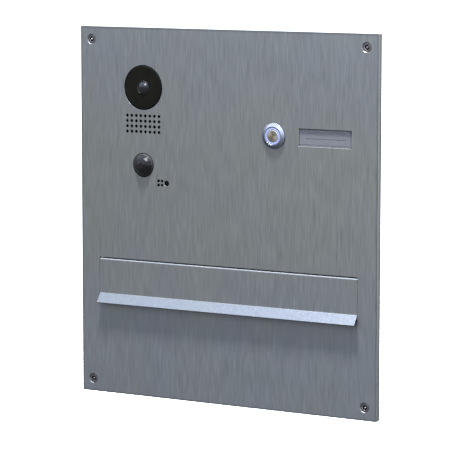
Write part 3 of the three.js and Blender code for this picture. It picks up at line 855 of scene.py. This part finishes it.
FINISHES = {
    "plate_steel": plate_steel("plate_steel"),
    "frame_steel": brushed_steel("frame_steel", (0.40, 0.41, 0.41), 0.36, "X", contrast=0.06),
    # Bluish steel: painted spill of the light ring's blue light on the bezel.
    "bezel_steel": turned_steel("bezel_steel", (0.2, 0.222, 0.29), 0.44, Place("button_bezel")),
    "screw_steel": plain_metal("screw_steel", (0.3, 0.3, 0.31), 0.3),
    "spring_steel": plain_metal("spring_steel", (0.28, 0.28, 0.28), 0.3),
    "brass": plain_metal("brass", (0.62, 0.45, 0.2), 0.25),
    "rubber": rubber("rubber", (0.012, 0.012, 0.013), 0.8),
    "cable_jacket": rubber("cable_jacket", (0.014, 0.014, 0.015), 0.5, 900.0),
    "window_black": black_window(),
    "dome_black": dome_plastic(),
    "black_plastic": moulded_plastic("black_plastic", (0.012, 0.012, 0.013), 0.5),
    "grey_plastic": moulded_plastic("grey_plastic", (0.07, 0.07, 0.075), 0.5),
    "speaker_cone": moulded_plastic("speaker_cone", (0.01, 0.01, 0.01), 0.85, 900.0),
    "dark_mesh": acoustic_mesh(),
    "circuit_board": circuit_board(),
    "light_ring": lit_ring(),
    "clear_window": clear_window(),
    "nameplate_card": nameplate_card(),
    "lens_glass": lens_glass(),
}
MATERIALS = {slot: finish.material for slot, finish in FINISHES.items()}
FLAP_STEEL = flap_steel().material
CORNER_SCREW_STEEL = corner_screw_steel().material
ACTUATOR_STEEL = actuator_steel().material
# Painted shade: dark walls for the corner screws' recesses.
PAINTED_SHADE_RECESS_STEEL = plain_metal("painted_shade_recess_steel", (0.14, 0.145, 0.155), 0.5).material
# Painted shade: near-black walls for the grille's and the microphone's holes.
PAINTED_SHADE_HOLE_STEEL = plain_metal("painted_shade_hole_steel", (0.006, 0.006, 0.006), 0.7).material


# ---- plate, flap, chute

def front_plate(plate):
    low, high = plate.low, plate.high
    openings = []

    def hole(shape, edge=0.12):
        openings.append((shape, soft_edges(FRONT, 0, edge, 1)))

    def round_hole(node, radius, sides, edge=0.12):
        place = Place(node)
        hole(circle(place.x, place.z, radius, sides), edge)

    round_hole("camera_window", Place("camera_window").radius + 0.25, 128, 0.2)
    round_hole("motion_dome", DOME["radius"] + 0.55, 96, 0.2)
    round_hole("light_sensor_window", 2.5, 48)
    round_hole("button_bezel", BUTTON["hole"], 96)
    for node, spec in (("speaker_mesh", GRILLE), ("microphone_capsule", MICROPHONE)):
        for shape in grid_holes(Place(node), spec):
            # Hole walls in slot 1: near-black painted shade.
            openings.append((shape, soft_edges(FRONT, 0, 0.04, 1, 2), 1))
    name = Place("nameplate_window")
    gap = 0.2
    hole(round_rectangle(name.low.x - gap, name.low.z - gap, name.high.x + gap, name.high.z + gap, 0.5), 0.4)
    flap = Place("letter_flap")
    top = flap.high.z + SLOT["above"]
    side = SLOT["beside"]
    hole(round_rectangle(flap.low.x - side, top - SLOT["height"], flap.high.x + side, top, 0.6), 0.06)
    sink = SCREW["recess"] - SCREW["hole"]
    lip = SCREW["collar"] - SCREW["hole"]
    collar = [(sink + 0.1, FRONT), (sink, FRONT + 0.08), (0, FRONT + sink), (0, high.y - 0.15),
              (0.15, high.y), (lip - 0.2, high.y), (lip, high.y - 0.2), (lip, 0)]
    blind = [(0.15, 0), (0, -0.15), (0, -FRAME_SCREW["depth"])]
    blind_holes = []
    for corner in CORNERS:
        screw = Place("corner_screw_" + corner)
        # Recess walls in slot 2: painted shade.
        openings.append((circle(screw.x, screw.z, SCREW["hole"], 64), collar, 2))
        screw = Place("slot_frame_screw_" + corner)
        blind_holes.append((circle(screw.x, screw.z, FRAME_SCREW["hole"], 32), blind))
    outer = (round_rectangle(low.x, low.z, high.x, high.z, 0.8, 5), soft_edges(FRONT, 0, 0.15, -1))
    return pierced_sheet(outer, openings, blind_holes)


def flap_outline(flap):
    """Section of the folded sheet in (y, z)."""
    top = flap.high.z
    crease = flap.low.z + LIP["down"]
    along = Vector((-LIP["out"], -LIP["down"])).normalized()
    behind = Vector((-along.y, along.x)) * SHEET
    tip = Vector((FRONT - LIP["out"], crease - LIP["down"]))
    tip_behind = tip + behind
    to_inner = (FRONT + SHEET - tip_behind.x) / -along.x
    inner = tip_behind - along * to_inner
    corners = [
        (FRONT + 7, top, 0.3), (FRONT, top, 1.9), (FRONT, crease, 0.6), (tip.x, tip.y, 0.35),
        (tip_behind.x, tip_behind.y, 0.35), (inner.x, inner.y, 2.1), (FRONT + SHEET, top - SHEET, 0.9),
        (FRONT + 7, top - SHEET, 0.3),
    ]
    return rounded(corners, 0.3, closed=True, steps=8)


def letter_flap(flap):
    pivot_z = flap.high.z - FLAP_PIVOT["below_top"]
    sheet = bar_along_x(flap_outline(flap), flap.low.x, flap.high.x, 0.18)
    ear = rounded([(FRONT + 0.7, pivot_z - 9, 0), *arc_points((FLAP_PIVOT["y"], pivot_z), 4.4, -62, 62, 16),
                   (FRONT + 0.7, pivot_z + 7.5, 0)], 0, closed=True)
    for low_x in (flap.low.x + 0.02, flap.high.x - SHEET - 0.02):
        sheet = combined(sheet, bar_along_x(ear, low_x, low_x + SHEET, 0.12), "UNION")
    start, end = [(x, FLAP_PIVOT["y"], pivot_z) for x in (flap.low.x - 5, flap.high.x + 5)]
    return drilled(sheet, start, end, FLAP_PIVOT["hole"])


def slot_frame(place):
    """Chute: a flange behind the plate, with a duct drawn back from it."""
    wall, flange, half = CHUTE["wall"], CHUTE["flange"], CHUTE["half"]
    front, back = place.front, place.back
    flange_back = front + wall
    duct = [(0, front), (0, back - 0.3), (0.3, back), (wall - 0.3, back), (wall, back - 0.3),
            (wall, flange_back + 1.0), (wall + 0.3, flange_back + 0.3), (wall + 1.0, flange_back)]
    openings = [(round_rectangle(-half, place.low.z + flange, half, place.high.z - flange, 0.4, 5), duct)]
    for corner in CORNERS:
        screw = Place("slot_frame_screw_" + corner)
        hole = circle(screw.x, screw.z, FRAME_SCREW["hole"], 32)
        openings.append((hole, soft_edges(front, flange_back, 0.1, 1)))
    outer = (round_rectangle(place.low.x, place.low.z, place.high.x, place.high.z, 3, 6),
             soft_edges(front, flange_back, 0.2, -1))
    pin = Place("flap_pivot_pin_left")
    reach = place.high.x + 5
    body = pierced_sheet(outer, openings)
    body = drilled(body, (-reach, pin.y, pin.z), (reach, pin.y, pin.z), FLAP_PIVOT["hole"])
    hook_z = pin.z - HOOK["below"]
    return drilled(body, (-reach, HOOK["y"], hook_z), (-half + 2, HOOK["y"], hook_z), HOOK["hole"], 24)


def pivot_pin(pin, sign):
    """Headed pin with a groove for its retaining clip, along X."""
    start, end = sorted((abs(pin.low.x), abs(pin.high.x)))
    head, shank, groove = PIN["head"], PIN["shank"], PIN["groove"]
    section = rounded([(0, start), (head, start, 0.4), (head, start + 1.5, 0.2), (shank, start + 1.5, 0),
                       (shank, end - 2.2, 0), (groove, end - 2.2, 0), (groove, end - 1.5, 0),
                       (shank, end - 1.5, 0), (shank, end - 0.4, 0.1), (1.1, end, 0.1), (0, end)], 0.1)
    bm = turned(section, Vector((0, 0, 0)), 48)
    turn = Matrix.Rotation(math.radians(-90 * sign), 4, "Z")
    move = Matrix.Translation(Vector((0, pin.y, pin.z)) * MM)
    bmesh.ops.transform(bm, matrix=move @ turn, verts=bm.verts)
    return bm


# ---- screws, nuts, springs

def hex_socket(place, mouth, depth, radius, turn, side=1):
    """Cutter for a hexagonal socket with a pointed floor. side is -1 if the socket opens backwards."""
    bm = bmesh.new()
    loops = []
    for y, r in ((-1, radius + 0.15), (0, radius + 0.15), (0.12, radius), (depth, radius), (depth + 0.5, 0)):
        loops.append(ring(bm, place, mouth + side * y, r, 6, turn))
    bm.faces.new(loops[0])
    return skin(bm, loops)


def frame_screw(place, turn):
    """Cap head screw with a hexagonal socket, its head towards the back."""
    tip, crown = place.front, place.back
    under = crown - 2.2
    shank = FRAME_SCREW["shank"]
    section = [(0, tip), (shank - 0.5, tip), (shank - 0.1, tip + 0.4),
               *thread(tip + 0.6, under - 0.2, shank, 0.25, 0.6)]
    head = place.radius
    section += rounded([(shank, under), (head, under, 0.15), (head, crown, 0.4), (0, crown)], 0.2)
    socket = hex_socket(place, crown, 1.4, 1.73, turn, side=-1)
    return combined(turned(section, place, 64), socket, "DIFFERENCE")


def corner_screw(place, turn):
    """Countersunk security screw: hexagon socket with a pin in it, threaded behind the plate."""
    top, end = place.front, place.back
    head, shank = SCREW["head"], SCREW["shank"]
    under = top + 0.25 + head - shank
    section = rounded([(0, top), (head - 0.2, top, 0.25), (head, top + 0.25, 0.1), (shank, under, 0.2)], 0.1)
    section += [(shank, under + 0.4), *thread(1, end - 1.4, shank, 0.4, 0.9), (shank, end - 1.2),
                (shank - 1.1, end - 0.05), (0, end)]
    blank = combined(turned(section, place, 48), hex_socket(place, top, 1.5, 2.3, turn), "DIFFERENCE")
    pin = rounded([(0, top + 0.15), (0.75, top + 0.15, 0.2), (0.75, top + 2.6), (0, top + 2.6)], 0.1)
    return combined(blank, turned(pin, place, 24), "UNION")


def cover_screw(place, turn):
    """Pan head screw with a cross recess."""
    tip, crown, head = place.front, place.back, place.radius
    shank = 1.4
    under = crown - 2.1
    section = [(0, tip), (0.5, tip + 0.2), *thread(tip + 0.8, under - 0.4, shank, 0.25, 0.8), (shank, under)]
    section += rounded([(shank, under), (head, under, 0.2), (head, under + 1.2, 0.9), (1.8, crown, 1.4),
                        (0, crown)], 0.2)[1:]
    blank = turned(section, place, 48)
    for k in range(2):
        blade = bmesh.new()
        bmesh.ops.create_cube(blade, size=1.0)
        for v in blade.verts:
            narrow = 0.75 if v.co.y < 0 else 1.0
            v.co = Vector((v.co.x * 3.4 * narrow, v.co.y * 3.0, v.co.z * 0.75 * narrow)) * MM
        spin = Matrix.Rotation(turn + math.pi / 2 * k, 4, "Y")
        move = Matrix.Translation(Vector((place.x, crown + 0.3, place.z)) * MM)
        bmesh.ops.transform(blade, matrix=move @ spin, verts=blade.verts)
        blank = combined(blank, blade, "DIFFERENCE")
    return blank


def return_spring(place):
    wire = 0.35
    radius = place.radius - wire
    turns = 5
    steps = turns * 32
    path = []
    for i in range(steps + 1):
        angle = 2 * math.pi * turns * i / steps
        y = place.front + wire + (place.back - place.front - 2 * wire) * i / steps
        path.append((place.x + radius * math.cos(angle), y, place.z + radius * math.sin(angle)))
    return swept(path, wire, 12)


def torsion_spring(place):
    """Coil round the left pin: one leg on the flap's back, and one hooked through the chute's wall."""
    hinge = Place("flap_pivot_pin_left")
    radius, wire, turns, steps = 2.5, TORSION["wire"], 4 + 30 / 360, 100
    inner = place.high.x - wire
    outer = inner - 6.2
    flap_back = FRONT + SHEET + wire + 0.3
    path = [(inner, flap_back, hinge.z + 6.8 - 0.6 * k) for k in range(4)]
    path.append((inner, -0.1, hinge.z + 2.8))
    for i in range(steps + 1):
        angle = math.pi / 2 - 2 * math.pi * turns * i / steps
        x = inner + (outer - inner) * i / steps
        path.append((x, hinge.y + radius * math.cos(angle), hinge.z + radius * math.sin(angle)))
    hook_y = HOOK["y"]
    hook_z = hinge.z - HOOK["below"]
    path += [(outer, hook_y - 0.6, hook_z + 0.3), (outer - 0.6, hook_y, hook_z),
             (TORSION["end_x"], hook_y, hook_z)]
    return swept(path, wire, 12)


# ---- camera

def camera_window(place):
    bore = Place("lens_barrel").radius + 0.3
    edge = place.radius - 0.35
    section = [(bore, place.front, 0.3), (edge, place.front, 0.7), (edge, place.back), (bore, place.back)]
    return turned(rounded(section, 0.1, closed=True, steps=5), place, 128, closed=True)


def camera_cup(place):
    y = place.front
    section = [(17.9, y), (19.5, y), (19.5, 0.3), (21.5, 0.3), (21.5, 2.3), (19.5, 2.3), (19.5, 5.8),
               (8.6, 5.8), (8.6, 4.2), (17.9, 4.2)]
    return turned(rounded(section, 0.2, closed=True), place, closed=True)


def lens_element(place):
    dome = arc_points((0, place.front + 8), 8, -86, -49, 12)
    return turned([(0, place.front), *dome, (5.3, place.back), (0, place.back)], place)


def lens_barrel(place):
    front = place.front
    seat = FRONT + 0.5
    section = [(5.5, front + 0.1), (5.6, front), (5.9, front), (6, front + 0.1)]
    for y in range(3, 12):
        section += [(6, y), (6, y + 0.5), (5.75, y + 0.65), (5.75, y + 0.85)]
    section += [(6, 12), (4.2, 12), (4.2, seat), (5.5, seat)]
    return turned(section, place, closed=True)


# ---- sensors

def tube(place, inner, front_edge, back_edge):
    """A ring with a square section, its edges rounded."""
    outer, front, back = place.radius, place.front, place.back
    section = rounded([(inner, front, front_edge), (outer, front, front_edge), (outer, back, back_edge),
                       (inner, back, back_edge)], 0, closed=True)
    return turned(section, place, closed=True)


def motion_dome(place):
    """Lens dome with flat facets, on a flanged collar, hollow behind."""
    radius, rise, wall = DOME["radius"], DOME["rise"], DOME["wall"]
    ball = (radius ** 2 + rise ** 2) / (2 * rise)
    centre = FRONT - rise + ball
    bm = bmesh.new()
    for r, count, turn in ((2.9, 5, 90), (6.4, 10, 72), (9.4, 15, 78), (radius, 60, 0)):
        ring(bm, place, centre - math.sqrt(ball ** 2 - r ** 2), r, count, math.radians(turn))
    bmesh.ops.convex_hull(bm, input=bm.verts)
    flange = place.radius
    collar = rounded([(0, FRONT - 0.01), (radius, FRONT - 0.01, 0), (radius, 0.3, 0), (flange, 0.3, 0.2),
                      (flange, 1.5, 0.2), (0, 1.5)], 0.1)
    shell = combined(bm, turned(collar, place, 60), "UNION")
    inner = ball - wall
    edge = math.degrees(math.asin((radius - wall) / inner))
    hollow = [(0, centre - inner), *arc_points((0, centre), inner, -88, -90 + edge, 10),
              (radius - wall, 3), (0, 3)]
    return combined(shell, turned(hollow, place, 60), "DIFFERENCE")


def light_sensor_window(place):
    front, back = place.front, place.back
    dome = arc_points((0, front + 4.3), 4.3, -82, -62, 5)
    section = [(0, front), *dome, (2.2, front + 0.65), (2.25, front + 0.8), (2.25, back), (0, back)]
    return turned(section, place, 48)


# ---- call button

def button_bezel(place):
    top, back, wide = place.front, place.back, place.radius
    shank, bore = BUTTON["shank"], BUTTON["bore"]
    section = [(bore, top + 0.1), (bore + 0.1, top)]
    section += rounded([(bore, top), (8.3, top, 0.35), (wide, FRONT - 0.9, 0.2), (wide, FRONT - 0.5, 0.1),
                        (shank, FRONT - 0.5)], 0.1)[1:]
    section += [(shank, FRONT + 0.3), *thread(-2.6, back - 0.6, shank, 0.5, 1.0), (shank - 0.5, back - 0.3),
                (shank - 0.8, back), (bore, back)]
    return turned(section, place, closed=True)


def button_actuator(place):
    top, flange, stem = place.front, 5.5, 3
    section = rounded([(0, top), (2.8, top + 0.05, 3), (4.9, top + 0.16, 0.5), (flange, top + 0.5, 0.3),
                       (flange, -2.2), (stem, -2.2), (stem, place.back), (0, place.back)], 0.1)
    return turned(section, place)


def switch_body(place):
    neck, wide = 7.0, place.radius
    shoulder = Place("button_bezel").back + 0.3
    section = rounded([(0, place.front), (neck, place.front, 0.3), (neck, shoulder, 0.1),
                       (wide, shoulder, 0.3), (wide, place.back, 0.7), (0, place.back)], 0.2)
    return turned(section, place)


def button_lead(_):
    """Lead from the switch body, along the plate's back and into the housing: the CAD's own route."""
    bezel = Place("button_bezel")
    x, z = bezel.x, bezel.z
    radius = 1.75
    entry = 66
    knots = [(x, 26, z - 9.2 - radius), (x, 22, z - 17), (x - 6, 12, z - 22), (x - 20, 4, z - 20),
             (12, 2.6, entry - 6), (-14, 3.4, entry - 1), (-30, 7.5, entry), (-39, 9, entry), (-46, 9, entry)]
    return swept(catmull_rom(knots, 16), radius, 24)


# ---- rear pieces

def cable_grommet(place):
    inner = place.front + 1
    outer = inner + 2.4
    wide, neck = 8.6, 6.7
    section = rounded([(0, inner - 1), (wide, inner - 1, 0.3), (wide, inner - 0.3, 0.2),
                       (neck, inner - 0.3, 0.1), (neck, outer + 0.3, 0.1), (wide, outer + 0.3, 0.2),
                       (7.9, outer + 2.6, 0.6), (4.6, outer + 2.6, 0.5), (4.2, outer, 0.3), (0, outer)], 0.2)
    return turned(section, place)


def build_pieces():
    """Every fine piece, in its CAD node's place, and the extra finishes of a few of them."""
    plate = publish("front_plate", front_plate, sharp_above=32)
    # Slots 1 and 2: painted shade on the small holes' walls and on the screw recesses' walls.
    plate.data.materials.append(PAINTED_SHADE_HOLE_STEEL)
    plate.data.materials.append(PAINTED_SHADE_RECESS_STEEL)
    flap = publish("letter_flap", letter_flap, sharp_above=32)
    flap.data.materials[0] = FLAP_STEEL
    publish("slot_frame", slot_frame, sharp_above=32)
    for side, sign in (("left", -1), ("right", 1)):
        publish("flap_pivot_pin_" + side, pivot_pin, sign)
    turns = random.Random(4)
    for corner in CORNERS:
        screw = publish("corner_screw_" + corner, corner_screw, turns.uniform(0, 1), sharp_above=32)
        screw.data.materials[0] = CORNER_SCREW_STEEL
        publish("slot_frame_screw_" + corner, frame_screw, turns.uniform(0, 1), sharp_above=32)
    for number in range(1, 5):
        publish("cover_screw_%d" % number, cover_screw, turns.uniform(0, 1), sharp_above=32)
    publish("button_nut", hex_nut, 22, BUTTON["hole"], 0.35, sharp_above=25)
    publish_return_spring()
    publish_torsion_spring()
    publish("motion_dome", motion_dome, sharp_above=4, weighted=False)
    actuator = publish("button_actuator", button_actuator)
    actuator.data.materials[0] = ACTUATOR_STEEL
    publish("camera_seal", tube, 17.9, 0.12, 0.12)
    publish("button_seal", tube, 9.7, 0.12, 0.12)
    publish("button_light_ring", tube, 5.75, 0.25, 0.1)
    builders = {
        "camera_window": camera_window, "camera_cup": camera_cup, "lens_front_element": lens_element,
        "lens_barrel": lens_barrel, "light_sensor_window": light_sensor_window, "button_bezel": button_bezel,
        "button_switch_body": switch_body, "button_lead": button_lead, "cable_grommet": cable_grommet,
    }
    for node, build in builders.items():
        publish(node, build)


def publish_return_spring():
    """Rides with its CAD node's body, with a mesh of its own."""
    piece = publish("button_return_spring", return_spring)
    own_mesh(piece)


def publish_torsion_spring():
    """Kept off every body, with its placement baked into its mesh."""
    piece = publish("flap_spring", torsion_spring, ride=False)
    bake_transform(piece)


EDGES = {
    "perimeter_gasket": 0.3, "electronics_housing": 0.7, "electronics_rear_cover": 0.6, "lens_mount": 0.3,
    "speaker_frame": 0.3, "nameplate_holder": 0.4, "flap_bumper_left": 0.7, "flap_bumper_right": 0.7,
    "nameplate_window": 0.15, "nameplate_insert": 0.05, "terminal_block": 0.3, "processor_shield": 0.2,
    "microphone_boot": 0.3, "button_terminal_left": 0.1, "button_terminal_right": 0.1,
}


def finish_cad_nodes():
    """Every CAD node that still shows gets its finish, and the blocky ones get soft edges."""
    for node, piece in frame["nodes"].items():
        piece.data.materials.clear()
        piece.data.materials.append(MATERIALS[SLOT_OF[node]])
        if node in EDGES and not piece.hide_render:
            soften(node, EDGES[node])


# ---- camera, floor, light

def add_camera():
    data = bpy.data.cameras.new("camera")
    data.lens = CAMERA["lens"]
    data.sensor_width = 36.0
    data.clip_end = 200.0
    camera = added("camera", data)
    camera.location = CAMERA["location"]
    camera.rotation_euler = (math.radians(90 - CAMERA["down"]), 0, math.radians(CAMERA["turn"]))
    bpy.context.scene.camera = camera


def add_floor():
    """A wide pale floor under the object."""
    size = 60.0
    height = -0.42
    mesh = bpy.data.meshes.new("floor")
    corners = [(-size, -size, height), (size, -size, height), (size, size, height), (-size, size, height)]
    mesh.from_pydata(corners, [], [(0, 1, 2, 3)])
    surface = Surface("floor_white", (0.9, 0.9, 0.9), 0.9, Emission_Color=(1, 1, 1, 1), Emission_Strength=0.8)
    mesh.materials.append(surface.material)
    floor = added("floor", mesh)
    floor.visible_glossy = False
    floor.visible_diffuse = False


def add_softbox(name, location, size, power):
    """A square light that faces the object."""
    data = bpy.data.lights.new(name, "AREA")
    data.shape = "SQUARE"
    data.size = size
    data.energy = power
    light = added(name, data)
    light.location = location
    light.rotation_euler = (-Vector(location)).to_track_quat("-Z", "Y").to_euler()


def add_world():
    """Soft studio surround: pale below the horizon, brighter and bluer overhead."""
    world = bpy.data.worlds.new("studio")
    bpy.context.scene.world = world
    world.use_nodes = True
    sky = Nodes(world.node_tree)
    background = sky.tree.nodes["Background"]
    height = sky.span(sky.position("Generated", 1.0)[2], -1.0, 1.0)
    color = sky.ramp(height, [
        (0.0, (0.10, 0.10, 0.105)), (0.36, (0.11, 0.115, 0.12)), (0.45, (0.16, 0.165, 0.175)),
        (0.5, (0.20, 0.21, 0.23)), (0.62, (0.34, 0.37, 0.43)), (0.8, (0.58, 0.63, 0.80)),
        (1.0, (0.68, 0.74, 0.92))])
    sky.put(background.inputs["Color"], color)
    background.inputs["Strength"].default_value = 2.4


add_camera()
add_floor()
add_world()
add_softbox("overhead", (0, -0.57, 2.75), 0.26, 330)
add_softbox("window", (0.2, -1.45, 1.3), 0.7, 14)
add_softbox("side", (1.95, -1.05, 0.2), 0.8, 17)
add_softbox("behind", (1.35, 2.2, 0.3), 2.0, 24)
bpy.context.scene.view_settings.view_transform = "Standard"
build_pieces()
finish_cad_nodes()
